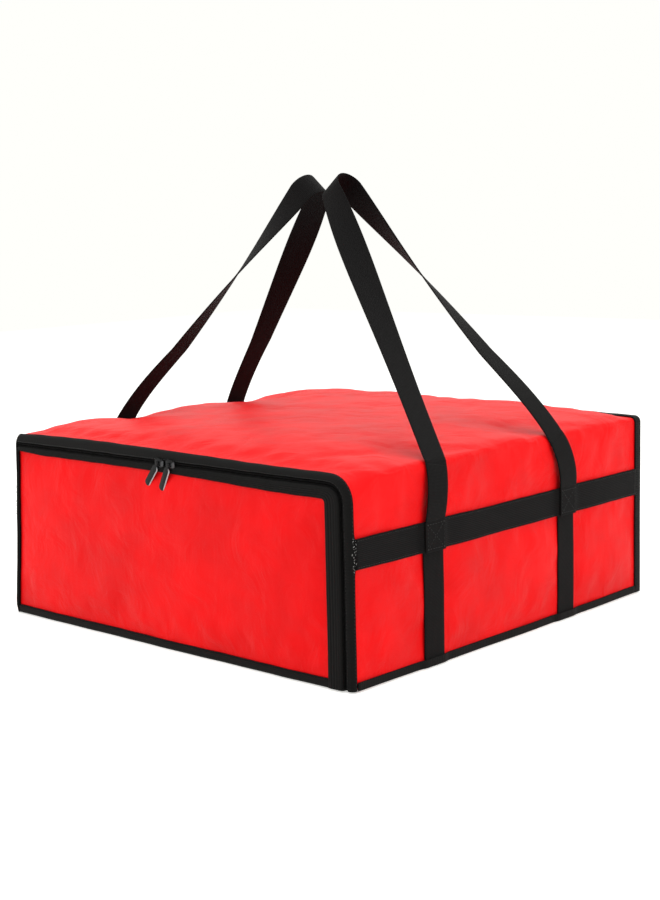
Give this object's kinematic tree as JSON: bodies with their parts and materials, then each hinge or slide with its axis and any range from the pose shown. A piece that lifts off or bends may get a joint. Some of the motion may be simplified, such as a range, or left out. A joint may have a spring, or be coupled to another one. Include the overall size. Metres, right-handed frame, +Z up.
{
  "type": "pizza delivery bag",
  "caption": "Soft square insulated food carrier with padded walls, a zip flap across the front and a webbing handle loop standing up from each side.",
  "frame": {"origin": "centre of the base, on the face that the bag stands on", "axes": "X along the width, -Y towards the zip flap in front, +Z up"},
  "size_m": [0.5166, 0.5075, 0.4856],
  "materials": {
    "red_fabric": "satin",
    "black_webbing": "matte",
    "black_binding": "matte",
    "white_foam": "matte",
    "silver_foil": "satin",
    "zip_coil": "satin",
    "black_metal": "satin"
  },
  "bodies": {
    "bag": {"outer_wrap": "red_fabric", "outer_back": "red_fabric", "outer_base": "red_fabric", "foam_top": "white_foam", "foam_left": "white_foam", "foam_right": "white_foam", "foam_base": "white_foam", "foam_back": "white_foam", "foil_wrap": "silver_foil", "foil_base": "silver_foil", "foil_back": "silver_foil", "mouth_binding": "black_binding", "back_binding": "black_binding", "left_foot_binding": "black_binding", "right_foot_binding": "black_binding", "zip_coil_mouth": "zip_coil", "left_band": "black_webbing", "left_front_strap": "black_webbing", "left_front_handle_end": "black_webbing", "left_rear_strap": "black_webbing", "left_rear_handle_end": "black_webbing", "right_band": "black_webbing", "right_front_strap": "black_webbing", "right_front_handle_end": "black_webbing", "right_rear_strap": "black_webbing", "right_rear_handle_end": "black_webbing"},
    "flap": {"flap_border": "black_binding", "flap_fabric": "red_fabric", "flap_foam": "white_foam", "flap_foil": "silver_foil", "zip_coil_flap": "zip_coil"},
    "left_slider": {"left_slider": "black_metal"},
    "left_pull": {"left_pull_tab": "black_metal"},
    "left_risers": {"left_front_riser": "black_webbing", "left_rear_riser": "black_webbing"},
    "left_loop": {"left_loop": "black_webbing"},
    "right_slider": {"right_slider": "black_metal"},
    "right_pull": {"right_pull_tab": "black_metal"},
    "right_risers": {"right_front_riser": "black_webbing", "right_rear_riser": "black_webbing"},
    "right_loop": {"right_loop": "black_webbing"}
  },
  "joints": [
    {"name": "flap_hinge", "type": "hinge", "parent": "bag", "child": "flap", "pos_m": [0, -0.25, 0], "axis": [1, 0, 0], "range_deg": [0, 87]},
    {"name": "left_slider_slide", "type": "slide", "parent": "flap", "child": "left_slider", "axis": [-1, 0, 0], "range_m": [0, 0.211]},
    {"name": "left_pull_hinge", "type": "hinge", "parent": "left_slider", "child": "left_pull", "pos_m": [-0.0055, -0.2543, 0.19505], "axis": [-0.7547, 0, 0.6561], "range_deg": [0, 150]},
    {"name": "left_riser_fold", "type": "hinge", "parent": "bag", "child": "left_risers", "pos_m": [-0.2554, 0, 0.146], "axis": [0, -1, 0], "range_deg": [0, 130]},
    {"name": "left_loop_fold", "type": "hinge", "parent": "left_risers", "child": "left_loop", "pos_m": [-0.2477, 0, 0.20378], "axis": [0, -1, 0], "range_deg": [-40, 8]},
    {"name": "right_slider_slide", "type": "slide", "parent": "flap", "child": "right_slider", "axis": [1, 0, 0], "range_m": [0, 0.2055]},
    {"name": "right_pull_hinge", "type": "hinge", "parent": "right_slider", "child": "right_pull", "pos_m": [0.011, -0.2543, 0.19505], "axis": [-0.8746, 0, 0.4848], "range_deg": [0, 150]},
    {"name": "right_riser_fold", "type": "hinge", "parent": "bag", "child": "right_risers", "pos_m": [0.2554, 0, 0.146], "axis": [0, 1, 0], "range_deg": [0, 130]},
    {"name": "right_loop_fold", "type": "hinge", "parent": "right_risers", "child": "right_loop", "pos_m": [0.2477, 0, 0.20378], "axis": [0, 1, 0], "range_deg": [-28, 8]}
  ]
}
